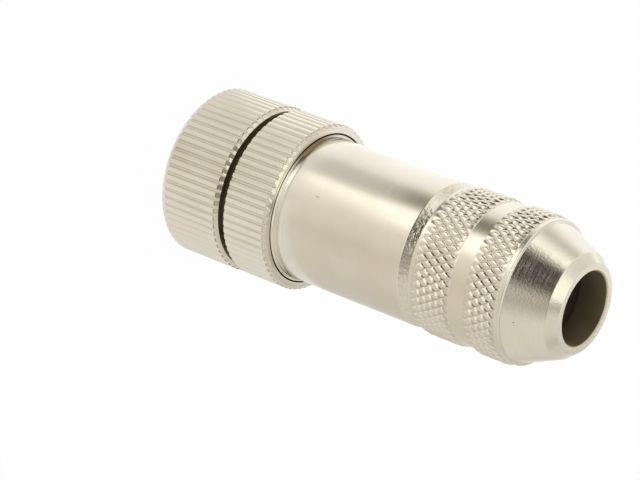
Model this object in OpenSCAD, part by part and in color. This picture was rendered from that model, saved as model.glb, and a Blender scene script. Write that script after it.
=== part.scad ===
// Field-wireable M12 cable connector with sockets, in a full metal shell.
// It stands on the front face of its coupling nut, with +Z towards the cable.

/* [Coupling nut] */
// Diameter over the knurl of the coupling nut
nut_d = 20; // [19:0.1:22]
// Length of the coupling nut
nut_l = 8.45; // [8:0.05:10]
// Edge break of the nut's front rim
nut_front_break = 0.4; // [0.2:0.05:0.6]
// Core diameter of the M12 x 1 coupling thread
thread_core_d = 10.92; // [10.8:0.02:11.2]
// Widening at the mouth of the coupling thread
thread_lead = 0.6; // [0.3:0.05:0.8]
// Wall of the nut round its rear bore, which runs on the neck
nut_wall = 3.4; // [3:0.1:3.6]
// Length of that bore
nut_web_l = 2.55; // [2.4:0.05:3]
// Distance from the nut's rear face to the retaining ring
wire_back = 0.92; // [0.9:0.02:1.2]
// Play of the nut along its neck
nut_play = 0.5; // [0.3:0.05:0.6]
// Open slit between the nut and the knurled ring
slit = 0.95; // [0.6:0.05:1.4]

/* [Carrier ring] */
// Step down from the nut's knurl to the knurl of the carrier ring
ring_step = 0.05; // [0:0.05:0.3]
// Wall of the ring between its knurl and its pocket
ring_wall = 0.67; // [0.5:0.01:1]
// Length of the knurled rim
ring_l = 6.2; // [5:0.1:8]
// Edge break of the knurled rim's front
ring_front_break = 0.15; // [0.1:0.05:0.4]
// Thickness of the ring's floor
ring_floor = 1; // [0.8:0.1:1.6]
// Wall of the neck that the coupling nut runs on
neck_wall = 1.2; // [1:0.05:1.4]
// Step up from the neck to the collar behind it
collar_step = 1.4; // [1:0.1:1.9]
// Wire thickness of the retaining ring
wire_d = 0.8; // [0.6:0.05:0.9]
// Opening of the retaining ring, in degrees
wire_gap = 30; // [20:5:60]
// Gap round the sleeve where it enters the ring
pocket_gap = 0.48; // [0.3:0.02:0.7]
// Wall of the threaded tube
tube_wall = 0.5; // [0.4:0.05:0.7]
// Distance from the threaded tube to the screwdriver's holes
tube_clear = 1.85; // [1.5:0.05:3]

/* [Knurls] */
// Furrows round each straight knurl
knurl_count = 64; // [48:2:80]
// Depth of the straight knurl
knurl_depth = 0.3; // [0.2:0.02:0.4]
// Rear chamfer of both straight-knurled rims
knurl_chamfer = 0.45; // [0.3:0.05:0.7]
// Width of a crest, as a share of the knurl's pitch
crest_share = 0.48; // [0.3:0.02:0.6]
// Width of a furrow's floor, as a share of the knurl's pitch
furrow_share = 0.16; // [0.1:0.02:0.3]
// Diamonds round each diamond knurl
diamond_count = 50; // [36:2:60]
// Height of the diamonds
diamond_h = 0.34; // [0.2:0.02:0.45]
// Height of the cut-off diamonds along a band's edges
edge_diamond_h = 0.08; // [0.04:0.02:0.2]
// Half rows of diamonds in the front band
front_rows = 6; // [4:1:8]
// Half rows of diamonds in the rear band
rear_rows = 5; // [4:1:8]

/* [Contacts] */
// Diameter of the insert's nose
nose_d = 8.5; // [8.2:0.05:8.6]
// Depth of the nose behind the nut's front face
nose_recess = 0.8; // [0.4:0.05:1.2]
// Chamfer round the nose's front
nose_chamfer = 0.3; // [0.2:0.05:0.5]
// Thickness of the face seal
face_seal_t = 1.1; // [0.8:0.1:1.4]
// Depth of the seal's seat in the nose
face_seal_seat = 0.2; // [0.16:0.02:0.3]
// Width of the coding groove
key_w = 1.3; // [1:0.05:1.6]
// Depth of the coding groove
key_depth = 0.6; // [0.4:0.05:0.7]
// Depth of the insert's shoulder in the ring's floor
shoulder_l = 0.8; // [0.5:0.05:0.8]
// Step down to the insert's rear block, behind the threaded tube
block_step = 0.3; // [0.2:0.05:0.4]
// Diameter of the circle that the contacts stand on
pin_circle_d = 5; // [4.9:0.05:5.2]
// Bore of each socket
socket_bore_d = 1.06; // [1.02:0.01:1.1]
// Width of the pin's way in, in front of each socket
guide_d = 1.4; // [1.38:0.02:1.5]
// Length of that way in
guide_l = 0.5; // [0.4:0.05:0.8]
// Outer diameter of each socket
socket_d = 1.9; // [1.7:0.05:2]
// Depth of the socket bore
socket_depth = 6; // [5:0.1:7]
// Width of the slot that makes the socket springy
socket_slot = 0.24; // [0.15:0.01:0.3]
// Length of that slot
slot_l = 3.6; // [3:0.1:4.5]
// Diameter of the terminal at the rear of each contact
terminal_d = 3; // [2.8:0.05:3.1]
// Length of the terminal
terminal_l = 5.4; // [5.2:0.1:6]
// Depth of the terminals behind the insert's rear face
terminal_recess = 1; // [0.8:0.1:1.4]
// Wire hole of the terminal
wire_hole_d = 1.6; // [1.4:0.05:1.7]
// Depth of the wire hole
wire_hole_l = 4.4; // [4:0.1:4.6]
// Diameter of each terminal screw
screw_d = 2; // [1.8:0.05:2]
// Depth of each terminal screw below the insert's surface
screw_recess = 0.65; // [0.5:0.05:1]
// Distance from a screw's axis to the rear end of its terminal
screw_back = 2.4; // [2:0.1:2.6]
// Chamfer at the screw's tip
screw_point = 0.25; // [0.15:0.05:0.3]
// Width of the screw's driver slot
driver_slot_w = 0.4; // [0.3:0.05:0.5]
// Depth of the driver slot
driver_slot_depth = 0.6; // [0.4:0.05:0.8]
// Play of the screw in the hole that a screwdriver reaches it through
driver_play = 0.3; // [0.2:0.05:0.5]

/* [Sleeve] */
// Length of the sleeve from the ring's rear face
sleeve_l = 18.9; // [18.4:0.1:22]
// Step down to the sleeve's front spigot
spigot_step = 0.4; // [0.2:0.05:0.5]
// Wall of that spigot, round the threaded tube
spigot_wall = 0.64; // [0.5:0.02:0.8]
// Gap between the ring's pocket and the flange behind the spigot
flange_gap = 0.16; // [0.1:0.02:0.3]
// Length of the flange inside the pocket
flange_l = 1.2; // [0.8:0.1:2]
// Length of the cone behind the flange
flange_cone = 0.6; // [0.4:0.05:1]
// Length of the chamfer at the sleeve's rear end
sleeve_chamfer_l = 1.2; // [0.8:0.05:1.4]
// Height of that chamfer
sleeve_chamfer_h = 0.75; // [0.4:0.05:0.8]
// Thickness of the web across the sleeve
web_t = 1; // [0.8:0.1:1.4]
// Width of the web's ledge under the cable seal
web_ledge = 0.74; // [0.5:0.02:1]
// Room between the web and the clamping nut's thread
thread_relief = 0.7; // [0.4:0.05:1]
// Wire thickness of the sleeve seal
seal_wire_d = 0.8; // [0.7:0.05:0.9]
// Length of the spacer behind the insert
spacer_l = 1.05; // [0.8:0.05:1.6]
// Length of the shield ring
shield_l = 2.4; // [2:0.1:3]
// Wall of the shield ring
shield_wall = 0.9; // [0.7:0.05:1.1]
// Length of the lip that keeps the spring in its ring
lip_l = 0.4; // [0.3:0.05:0.6]
// Height of that lip
lip_h = 0.5; // [0.4:0.05:0.6]
// Leaves of the shield spring
leaf_count = 12; // [8:1:16]
// Thickness of a leaf
leaf_t = 0.15; // [0.1:0.01:0.2]
// How far a leaf bows inwards
leaf_bow = 1.1; // [0.8:0.05:1.3]
// Slot between two leaves
leaf_slot = 0.5; // [0.3:0.05:0.7]
// Length of the closed band that the leaves stand on
leaf_band = 0.4; // [0.3:0.05:0.6]

/* [Clamping nut] */
// Step down from the sleeve to the plain rims beside the knurls
rim_step = 0.05; // [0:0.05:0.2]
// Edge break of those rims
rim_break = 0.12; // [0.05:0.01:0.2]
// Length of the plain rim in front of the first knurl
front_rim_l = 0.55; // [0.4:0.05:1]
// Length of the front knurl
front_band_l = 4.95; // [4:0.05:6]
// Length of the groove between the knurls
groove_l = 2.1; // [1.5:0.1:3]
// Depth of that groove below the plain rims
groove_depth = 0.06; // [0.02:0.02:0.3]
// Length of the rear knurl
rear_band_l = 4.1; // [3.5:0.05:5]
// Length of the plain rim behind the rear knurl
rear_rim_l = 0.65; // [0.4:0.05:1]
// Step from that rim down to the cone
cone_step = 0.35; // [0.1:0.05:0.5]
// Length of the cone
cone_l = 4.45; // [4:0.05:6]
// Length of the bevel at the cone's end
bevel_l = 1.1; // [0.8:0.05:1.5]
// Radius that the bevel loses over its length
bevel_drop = 0.97; // [0.7:0.02:1]
// Width of the flat rim round the cable mouth
mouth_rim = 0.87; // [0.6:0.05:1]
// Step from the nut's inner bore down to the cable mouth
mouth_step = 2.07; // [1.9:0.01:2.3]
// Length of the cable mouth
mouth_l = 3.6; // [3:0.1:4]
// Wall of the sleeve round the clamping nut's thread
joint_wall = 1.24; // [1.1:0.02:1.4]
// Length of that thread
clamp_thread_l = 4.3; // [3.8:0.1:4.4]
// Wall of the threaded part
clamp_wall = 0.8; // [0.7:0.05:1]
// Travel of the inner cone that closes the cage
closing_l = 5.4; // [5:0.1:6]

/* [Cable clamp] */
// Wall of the cable seal
seal_wall = 2.44; // [2.2:0.02:2.7]
// Length of the cable seal
seal_l = 5.9; // [5.5:0.1:6.4]
// Chamfer round both ends of the cable seal
seal_chamfer = 0.3; // [0.2:0.05:0.5]
// Depth of the hollows between the seal's lips
seal_hollow = 0.35; // [0.2:0.05:0.5]
// Width of the thrust washer's face
washer_w = 2.14; // [2:0.02:2.3]
// Thickness of the thrust washer
washer_t = 0.5; // [0.4:0.05:0.8]
// Depth of the cage's teeth
grip_h = 0.25; // [0.15:0.05:0.35]
// Length of a tooth
grip_l = 0.75; // [0.6:0.05:0.9]
// Reach of the fingers into the nut's inner cone
finger_reach = 3.9; // [3:0.1:4.2]
// Length of the closed ring of the cage
cage_ring_l = 2.4; // [2:0.1:3]
// Fingers of the cage
finger_count = 8; // [6:1:12]
// Slot between two fingers
finger_slot = 0.7; // [0.5:0.05:1]

/* [Fits] */
// Radial clearance of a running fit
run_fit = 0.06; // [0.04:0.01:0.08]
// Gap between faces that seat on each other
seat = 0.05; // [0.03:0.01:0.08]

/* [Hidden] */
$fn = 96;
// Overrun of a cutting solid, and the overlap that fuses two solids
over = 1;
fuse = 0.01;
// How deep a diamond band is rooted in the turned core under it
band_root = 0.25;

// Front group: the neck, its groove and the knurled ring
nut_r = nut_d / 2;
ring_r = nut_r - ring_step;
pocket_r = ring_r - knurl_depth - ring_wall;
sleeve_r = pocket_r - pocket_gap;
spigot_r = sleeve_r - spigot_step;
sleeve_bore_r = spigot_r - spigot_wall;
tube_r = sleeve_bore_r - run_fit;
tube_bore_r = tube_r - tube_wall;
neck_r = nut_r - nut_wall;
bore_r = neck_r - neck_wall;
neck_z = nut_l - nut_web_l + seat * 2;
wire_z = nut_l - wire_back;
wire_c = neck_r + run_fit / 2;
ring_z = nut_l + slit;
ring_rear = ring_z + ring_l;
pocket_z = ring_z + ring_floor;
shoulder_z = pocket_z - shoulder_l;

// Insert and contacts; the insert ends where the sleeve's inner pieces begin
nose_r = nose_d / 2;
seal_seat_r = nose_r - face_seal_seat;
seal_seat_z = neck_z - face_seal_t;
pin_r = pin_circle_d / 2;
screw_tip_r = pin_r + wire_hole_d / 2 + seat;
socket_front = nose_recess + guide_l + seat;
block_r = tube_bore_r - block_step;
driver_hole_d = screw_d + driver_play;
contact_angles = [45, 135, 225, 315];

// Sleeve and what it holds
sleeve_front = pocket_z + seal_wire_d + seat * 2;
sleeve_end = ring_rear + sleeve_l;
flange_r = pocket_r - flange_gap;
clamp_bore_r = sleeve_r - joint_wall;
clamp_thread_r = clamp_bore_r - run_fit;
clamp_inner_r = clamp_thread_r - clamp_wall;
mouth_r = clamp_inner_r - mouth_step;
clamp_z = sleeve_end + seat * 2;
web_z = clamp_z - clamp_thread_l - thread_relief - web_t;
web_end = web_z + web_t;
shield_z = web_z - seat - shield_l;
shield_r = sleeve_bore_r - run_fit;
spacer_z = shield_z - seat - spacer_l;
insert_end = spacer_z - seat;
terminal_end = insert_end - terminal_recess;
terminal_z = terminal_end - terminal_l;
screw_z = terminal_end - screw_back;
screw_l = block_r - screw_recess - screw_tip_r;
tube_end = screw_z - driver_hole_d / 2 - tube_clear;
seal_z = web_end + seat;
seal_r = clamp_inner_r - run_fit;
web_r = seal_r - web_ledge;
washer_z = seal_z + seal_l + seat;
cage_z = washer_z + washer_t + seat;

// Clamping nut, from front to rear
rim_r = sleeve_r - rim_step;
front_band_z = clamp_z + front_rim_l;
groove_z = front_band_z + front_band_l;
rear_band_z = groove_z + groove_l;
rear_rim_z = rear_band_z + rear_band_l;
cone_z = rear_rim_z + rear_rim_l;
cone_r = rim_r - cone_step;
bevel_z = cone_z + cone_l;
bevel_r = mouth_r + mouth_rim + bevel_drop;
total_l = bevel_z + bevel_l;
mouth_z = total_l - mouth_l;
closing_z = mouth_z - closing_l;
closing_slope = mouth_step / closing_l;

// A ring turned from r1 to r2 and from z1 to z2
module turned_ring(r1, r2, z1, z2) {
    rotate_extrude() polygon([[r1, z1], [r2, z1], [r2, z2], [r1, z2]]);
}

// A straight-knurled disc with chamfered ends; a tooth is a flat crest and a flat-bottomed furrow
module knurled_disc(r, l, front, rear) {
    step = 360 / knurl_count;
    tooth = [[-crest_share / 2, 0], [crest_share / 2, 0], [0.5 - furrow_share / 2, 1],
        [0.5 + furrow_share / 2, 1]];
    intersection() {
        linear_extrude(l)
            polygon([for (i = [0:knurl_count - 1], p = tooth)
                (r - p[1] * knurl_depth) * [cos((i + p[0]) * step), sin((i + p[0]) * step)]]);
        rotate_extrude()
            polygon([[0, 0], [r - front, 0], [r + over, front + over], [r + over, l - rear - over],
                [r - rear, l], [0, l]]);
    }
}

// A band of raised diamonds: even grid points are peaks and odd ones lie in the furrows
module diamond_band(z, l, rows) {
    n = 2 * diamond_count;
    function height(i, j) =
        (i + j) % 2 == 1 ? fuse : (j == 0 || j == rows ? edge_diamond_h : diamond_h);
    function at(r, i, j) = [r * cos(i * 360 / n), r * sin(i * 360 / n), z + l * j / rows];
    outer = [for (j = [0:rows], i = [0:n - 1]) at(rim_r + height(i, j), i, j)];
    inner = [for (j = [0, rows], i = [0:n - 1]) at(rim_r - band_root, i, j)];
    function o(i, j) = j * n + i % n;
    function w(i, k) = len(outer) + k * n + i % n;
    slopes = [for (j = [0:rows - 1], i = [0:n - 1], t = [0, 1])
        let (a = o(i, j), b = o(i + 1, j), c = o(i + 1, j + 1), d = o(i, j + 1))
        (i + j) % 2 == 0 ? (t == 0 ? [a, d, b] : [c, b, d]) : (t == 0 ? [a, c, b] : [a, d, c])];
    walls = [for (i = [0:n - 1]) each [
        [w(i, 0), w(i + 1, 0), w(i + 1, 1), w(i, 1)],
        [w(i, 0), o(i, 0), o(i + 1, 0), w(i + 1, 0)],
        [o(i, rows), w(i, 1), w(i + 1, 1), o(i + 1, rows)]]];
    polyhedron(points = concat(outer, inner), faces = concat(slopes, walls), convexity = 6);
}

// Coupling nut: straight knurl, thread bore, rear bore on the neck and the wire's groove
module coupling_nut() color([0.86, 0.83, 0.76]) {
    thread_r = thread_core_d / 2;
    run_r = neck_r + run_fit;
    groove_r = wire_c + wire_d / 2 + run_fit;
    difference() {
        knurled_disc(nut_r, nut_l, nut_front_break, knurl_chamfer);
        translate([0, 0, -over]) cylinder(r = thread_r, h = nut_l + 2 * over);
        rotate_extrude()
            polygon([[0, -over], [thread_r + thread_lead + over, -over], [thread_r, thread_lead],
                [0, thread_lead]]);
        translate([0, 0, nut_l - nut_web_l]) cylinder(r = run_r, h = nut_web_l + over);
        turned_ring(run_r - over, groove_r, wire_z - wire_d / 2 - seat, wire_z + wire_d / 2 + seat);
    }
}

// Retaining ring: an open ring of spring wire, half in the nut and half in the neck
module retaining_ring() color([0.6, 0.6, 0.6])
    translate([0, 0, wire_z])
        rotate([0, 0, wire_gap / 2])
            rotate_extrude(angle = 360 - wire_gap)
                translate([wire_c, 0]) circle(d = wire_d, $fn = 24);

// Carrier ring: neck, collar, knurled rim with a pocket at its rear, and the threaded tube
module carrier_ring() color([0.86, 0.83, 0.76]) {
    collar_z = nut_l + seat;
    groove_r = wire_c - wire_d / 2 - run_fit;
    groove_z1 = wire_z - wire_d / 2 - nut_play - seat;
    groove_z2 = wire_z + wire_d / 2 + seat;
    difference() {
        union() {
            translate([0, 0, ring_z])
                knurled_disc(ring_r, ring_l, ring_front_break, knurl_chamfer);
            turned_ring(bore_r, neck_r, neck_z, collar_z + fuse);
            turned_ring(bore_r, neck_r + collar_step, collar_z, ring_z + fuse);
        }
        turned_ring(tube_r, pocket_r, pocket_z, ring_rear + over);
        turned_ring(groove_r, neck_r + over, groove_z1, groove_z2);
        translate([0, 0, neck_z - over]) cylinder(r = bore_r, h = ring_rear);
        translate([0, 0, shoulder_z]) cylinder(r = tube_bore_r, h = ring_rear);
    }
    turned_ring(tube_bore_r, tube_r, pocket_z - fuse, tube_end);
}

// Face seal: a flat rubber ring in its seat on the nose, against the insert's shoulder
module face_seal() color([0.12, 0.12, 0.12])
    turned_ring(seal_seat_r, bore_r, seal_seat_z, neck_z - seat);

// Insert: nose with its coding groove, shank, body and rear block, bored for the contacts
module contact_insert() color([0.1, 0.1, 0.11]) {
    key_l = seal_seat_z - nose_recess;
    difference() {
        rotate_extrude()
            polygon([[0, nose_recess], [nose_r - nose_chamfer, nose_recess],
                [nose_r, nose_recess + nose_chamfer], [nose_r, seal_seat_z],
                [seal_seat_r, seal_seat_z], [seal_seat_r, neck_z], [bore_r - seat, neck_z],
                [bore_r - seat, shoulder_z + seat], [tube_bore_r - seat, shoulder_z + seat],
                [tube_bore_r - seat, tube_end], [block_r, tube_end + block_step],
                [block_r, insert_end], [0, insert_end]]);
        translate([-key_w / 2, nose_r - key_depth, nose_recess - over])
            cube([key_w, key_depth + over, key_l + over]);
        for (a = contact_angles) rotate(a) {
            translate([pin_r, 0, nose_recess - over]) cylinder(d = guide_d, h = guide_l + 2 * over);
            translate([pin_r, 0, nose_recess + guide_l]) cylinder(d = socket_d + seat, h = insert_end);
            translate([pin_r, 0, terminal_z - seat]) cylinder(d = terminal_d + seat, h = insert_end);
            translate([pin_r, 0, screw_z]) rotate([0, 90, 0]) cylinder(d = driver_hole_d, h = block_r);
        }
    }
}

// Socket contact: slotted socket in front, terminal with a wire hole and a screw hole behind
module socket_contact(a) color([0.85, 0.7, 0.35])
    rotate(a) difference() {
        translate([pin_r, 0, 0]) rotate_extrude()
            polygon([[0, socket_front], [socket_d / 2, socket_front], [socket_d / 2, terminal_z],
                [terminal_d / 2, terminal_z], [terminal_d / 2, terminal_end], [0, terminal_end]]);
        translate([pin_r, 0, socket_front - over]) cylinder(d = socket_bore_d, h = socket_depth + over);
        translate([pin_r, 0, terminal_end - wire_hole_l])
            cylinder(d = wire_hole_d, h = wire_hole_l + over);
        translate([pin_r, 0, screw_z]) rotate([0, 90, 0]) cylinder(d = screw_d + run_fit, h = terminal_d);
        translate([pin_r - socket_d, -socket_slot / 2, socket_front - over])
            cube([socket_d * 2, socket_slot, slot_l + over]);
    }

// Terminal screw: a headless screw with a driver slot at its outer end
module terminal_screw(a) color([0.75, 0.75, 0.72])
    rotate(a) translate([screw_tip_r, 0, screw_z]) difference() {
        rotate([0, 90, 0]) rotate_extrude()
            polygon([[0, 0], [screw_d / 2 - screw_point, 0], [screw_d / 2, screw_point],
                [screw_d / 2, screw_l], [0, screw_l]]);
        translate([screw_l - driver_slot_depth, -screw_d, -driver_slot_w / 2])
            cube([driver_slot_depth + over, screw_d * 2, driver_slot_w]);
    }

// Sleeve seal: an O-ring on the floor of the carrier's pocket
module sleeve_seal() color([0.12, 0.12, 0.12])
    rotate_extrude()
        translate([tube_r + seal_wire_d / 2 + seat / 2, pocket_z + seal_wire_d / 2 + seat])
            circle(d = seal_wire_d, $fn = 32);

// Sleeve: threaded spigot and flange in front, web across it, and the clamping nut's thread at its rear
module housing_sleeve() color([0.88, 0.84, 0.76])
    rotate_extrude()
        polygon([[sleeve_bore_r, sleeve_front], [spigot_r, sleeve_front],
            [spigot_r, ring_rear - flange_l], [flange_r, ring_rear - flange_l], [flange_r, ring_rear],
            [sleeve_r, ring_rear + flange_cone], [sleeve_r, sleeve_end - sleeve_chamfer_l],
            [sleeve_r - sleeve_chamfer_h, sleeve_end], [clamp_bore_r, sleeve_end],
            [clamp_bore_r, web_end], [web_r, web_end], [web_r, web_z], [sleeve_bore_r, web_z]]);

// Spacer: keeps the shield ring off the terminals
module spacer_sleeve() color([0.85, 0.85, 0.82])
    turned_ring(shield_r - shield_wall, shield_r, spacer_z, spacer_z + spacer_l);

// Shield ring: bonds the braid of the cable to the sleeve, and holds the leaf spring behind a lip
module shield_ring() color([0.8, 0.78, 0.72]) {
    lip_r = shield_r - shield_wall - lip_h;
    rotate_extrude()
        polygon([[lip_r, shield_z], [shield_r, shield_z], [shield_r, shield_z + shield_l],
            [shield_r - shield_wall, shield_z + shield_l], [shield_r - shield_wall, shield_z + lip_l],
            [lip_r, shield_z + lip_l]]);
}

// Shield spring: a closed band with leaves that bow inwards against the braid
module shield_spring() color([0.85, 0.75, 0.45]) {
    r = shield_r - shield_wall - seat;
    front = shield_z + lip_l + seat;
    l = shield_l - lip_l - seat;
    path = [[0, 0], [0, leaf_band], [-leaf_bow, l * 0.6], [-leaf_band / 2, l]];
    difference() {
        rotate_extrude($fn = 192)
            polygon(concat([for (p = path) [r + p[0], front + p[1]]],
                [for (i = [len(path) - 1:-1:0]) [r - leaf_t + path[i][0], front + path[i][1]]]));
        for (i = [0:leaf_count - 1]) rotate(i * 360 / leaf_count)
            translate([0, -leaf_slot / 2, front + leaf_band]) cube([r + over, leaf_slot, l]);
    }
}

// Cable seal: a rubber grommet with three inner lips
module cable_seal() color([0.12, 0.12, 0.12]) {
    bore = seal_r - seal_wall;
    rear = seal_z + seal_l;
    rotate_extrude()
        polygon([[bore, seal_z], [seal_r - seal_chamfer, seal_z], [seal_r, seal_z + seal_chamfer],
            [seal_r, rear - seal_chamfer], [seal_r - seal_chamfer, rear], [bore, rear],
            [bore + seal_hollow, rear - seal_l / 4], [bore, rear - seal_l / 2],
            [bore + seal_hollow, seal_z + seal_l / 4]]);
}

// Thrust washer: lets the cage turn on the seal
module thrust_washer() color([0.9, 0.9, 0.86])
    turned_ring(seal_r - washer_w, seal_r, washer_z, washer_z + washer_t);

// Cage: a closed ring and tapered fingers that the nut's inner cone bends onto the cable
module clamping_cage() color([0.2, 0.2, 0.2]) {
    r = clamp_inner_r - run_fit;
    grip_r = mouth_r - seat;
    tip_z = closing_z + finger_reach;
    tip_r = r - closing_slope * finger_reach;
    difference() {
        rotate_extrude()
            polygon([[grip_r + grip_h, cage_z], [r, cage_z], [r, closing_z], [tip_r, tip_z], [grip_r, tip_z],
                [grip_r + grip_h, tip_z - grip_l], [grip_r, tip_z - grip_l],
                [grip_r + grip_h, tip_z - 2 * grip_l]]);
        for (i = [0:finger_count - 1]) rotate(i * 360 / finger_count)
            translate([0, -finger_slot / 2, cage_z + cage_ring_l]) cube([r + over, finger_slot, total_l]);
    }
}

// Clamping nut: threaded spigot, two diamond knurls, cone, bevel and the cable mouth
module clamp_nut() color([0.86, 0.83, 0.76]) {
    thread_z = clamp_z - clamp_thread_l;
    groove_r = rim_r - groove_depth;
    rotate_extrude()
        polygon([[clamp_inner_r, thread_z], [clamp_thread_r, thread_z], [clamp_thread_r, clamp_z],
            [rim_r - rim_break, clamp_z], [rim_r, clamp_z + rim_break],
            [rim_r, groove_z], [groove_r, groove_z + groove_depth],
            [groove_r, rear_band_z - groove_depth], [rim_r, rear_band_z],
            [rim_r, cone_z - rim_break], [rim_r - rim_break, cone_z], [cone_r, cone_z],
            [bevel_r, bevel_z], [bevel_r - bevel_drop, total_l], [mouth_r + rim_break, total_l],
            [mouth_r, total_l - rim_break], [mouth_r, mouth_z], [clamp_inner_r, closing_z]]);
    diamond_band(front_band_z, front_band_l, front_rows);
    diamond_band(rear_band_z, rear_band_l, rear_rows);
}

coupling_nut();
retaining_ring();
carrier_ring();
face_seal();
contact_insert();
socket_contact(contact_angles[0]);  // socket_contact_1
socket_contact(contact_angles[1]);  // socket_contact_2
socket_contact(contact_angles[2]);  // socket_contact_3
socket_contact(contact_angles[3]);  // socket_contact_4
terminal_screw(contact_angles[0]);  // terminal_screw_1
terminal_screw(contact_angles[1]);  // terminal_screw_2
terminal_screw(contact_angles[2]);  // terminal_screw_3
terminal_screw(contact_angles[3]);  // terminal_screw_4
sleeve_seal();
housing_sleeve();
spacer_sleeve();
shield_ring();
shield_spring();
cable_seal();
thrust_washer();
clamping_cage();
clamp_nut();
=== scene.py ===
# Field-wireable M12 cable connector in a turned and knurled nickel-plated shell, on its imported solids
import math

import bpy
import numpy as np
from mathutils import Matrix, Vector


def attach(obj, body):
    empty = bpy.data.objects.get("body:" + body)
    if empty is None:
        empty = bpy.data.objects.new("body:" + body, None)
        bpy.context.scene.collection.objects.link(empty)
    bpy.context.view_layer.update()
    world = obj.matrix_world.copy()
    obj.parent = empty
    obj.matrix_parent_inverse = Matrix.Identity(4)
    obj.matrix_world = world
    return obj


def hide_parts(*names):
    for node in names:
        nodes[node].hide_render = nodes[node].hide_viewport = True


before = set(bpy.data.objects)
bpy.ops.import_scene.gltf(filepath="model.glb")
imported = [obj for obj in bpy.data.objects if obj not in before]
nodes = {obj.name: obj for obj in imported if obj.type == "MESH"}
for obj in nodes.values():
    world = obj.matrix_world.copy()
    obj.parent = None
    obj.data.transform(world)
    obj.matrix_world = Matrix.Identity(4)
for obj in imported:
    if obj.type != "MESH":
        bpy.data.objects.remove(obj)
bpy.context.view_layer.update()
mm = 0.001
turn = 2 * math.pi
print("frame loaded:", len(nodes), "nodes")


# Turned and knurled meshes
# A piece is a closed section swept round Z. Each row holds a radius and a height, in mm, for every column.
def plainRow(radius, height, angles):
    return [np.full(len(angles), float(radius)), np.full(len(angles), float(height))]


def plainRows(points, angles):
    return [plainRow(r, z, angles) for r, z in points]


# Where the rows of a broken corner lie, in sizes of the break, and the largest share of a face that it takes
cornerShape = {"guard": 1.5, "middle": 0.3, "share": 0.3}


# A corner rounded by three rows, so that the edge catches light, between two guard rows that keep the faces
# beside it flat
def brokenEdge(before, at, after, size):
    b, c, a = (np.array(p, float) for p in (before, at, after))
    toB, toA = (b - c) / np.linalg.norm(b - c), (a - c) / np.linalg.norm(a - c)
    guard, middle = cornerShape["guard"], cornerShape["middle"]
    return [tuple(p) for p in (c + toB * size * guard, c + toB * size, c + (toB + toA) * size * middle,
                               c + toA * size, c + toA * size * guard)]


# A section's corners, each one broken by the given size
def softSection(points, size):
    rows = [points[0]]
    for before, at, after in zip(points, points[1:], points[2:]):
        reach = min(np.hypot(*np.subtract(before, at)), np.hypot(*np.subtract(after, at)))
        rows += brokenEdge(before, at, after, min(size, reach * cornerShape["share"]))
    return rows + [points[-1]]


# A thread's profile: how steep its flanks are, how flat its root is, and over how many pitches it runs out
threadShape = {"steepness": 1.45, "rootFlat": 0.2, "runOut": 0.8}


# Rows of a screw thread between two heights; depth is negative where it is cut into a shaft
def threadRows(radius, depth, z0, z1, pitch, steps, angles):
    rows = []
    count = max(2, int(abs(z1 - z0) / pitch * steps))
    for i in range(count + 1):
        z = z0 + (z1 - z0) * i / count
        phase = np.mod(z / pitch - angles / turn, 1.0)
        slope = (0.5 - np.abs(phase - 0.5)) * 2 * threadShape["steepness"]
        flank = np.clip(slope - threadShape["rootFlat"], 0, 1)
        run = min(abs(z - z0), abs(z1 - z)) / (threadShape["runOut"] * pitch)
        rows.append([radius + depth * flank * min(1.0, run), np.full(len(angles), z)])
    return rows


sharpAngle = 28  # degrees between two faces from which their edge is drawn sharp


# Builds the mesh. Tags hold the number of each row's finish, and split tells along which diagonal the row's
# faces are cut.
def ringMesh(name, rows, angles, finishes, tags, split=None):
    columns, count = len(angles), len(rows)
    radius = np.array([r[0] for r in rows])
    height = np.array([r[1] for r in rows])
    verts = np.stack([radius * np.cos(angles), radius * np.sin(angles), height], axis=-1).reshape(-1, 3) * mm
    faces, slots = [], []
    for i in range(count):
        k = (i + 1) % count
        for c in range(columns):
            d = (c + 1) % columns
            quad = (i * columns + c, i * columns + d, k * columns + d, k * columns + c)
            if split is None or split[i] is None:
                faces.append(quad)
                slots.append(tags[i])
                continue
            if split[i][c]:
                faces += [(quad[0], quad[1], quad[3]), (quad[1], quad[2], quad[3])]
            else:
                faces += [(quad[0], quad[1], quad[2]), (quad[0], quad[2], quad[3])]
            slots += [tags[i], tags[i]]
    mesh = bpy.data.meshes.new(name)
    mesh.from_pydata([tuple(v) for v in verts], [], faces)
    mesh.polygons.foreach_set("material_index", slots)
    mesh.update()
    mesh.shade_smooth()
    mesh.set_sharp_from_angle(angle=math.radians(sharpAngle))
    for finish in finishes:
        mesh.materials.append(finish)
    piece = bpy.data.objects.new(name, mesh)
    bpy.context.scene.collection.objects.link(piece)
    return piece


# One tooth of a straight knurl: places across its pitch, each with its share of the furrow's depth. A flat
# crest with broken edges comes first, then a flat-bottomed furrow.
toothShape = [(-0.25, 0.07), (-0.19, 0.0), (0.19, 0.0), (0.25, 0.07),
              (0.41, 0.93), (0.46, 1.0), (0.54, 1.0), (0.59, 0.93)]


# Angles and depths of a straight knurl
def knurlColumns(count):
    angles = np.array([(i + place) / count * turn for i in range(count) for place, _ in toothShape])
    return angles, np.array([depth for _ in range(count) for _, depth in toothShape])


# Where the rows at a knurled edge lie, in sizes of the broken edge; the slope at the crest's foot is in steps
knurlEdge = {"start": 0.3, "end": 1.3, "guard": 2.0, "cornerIn": 0.4, "cornerDown": 0.2, "rim": 0.5,
             "footSlope": 0.7}


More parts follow.
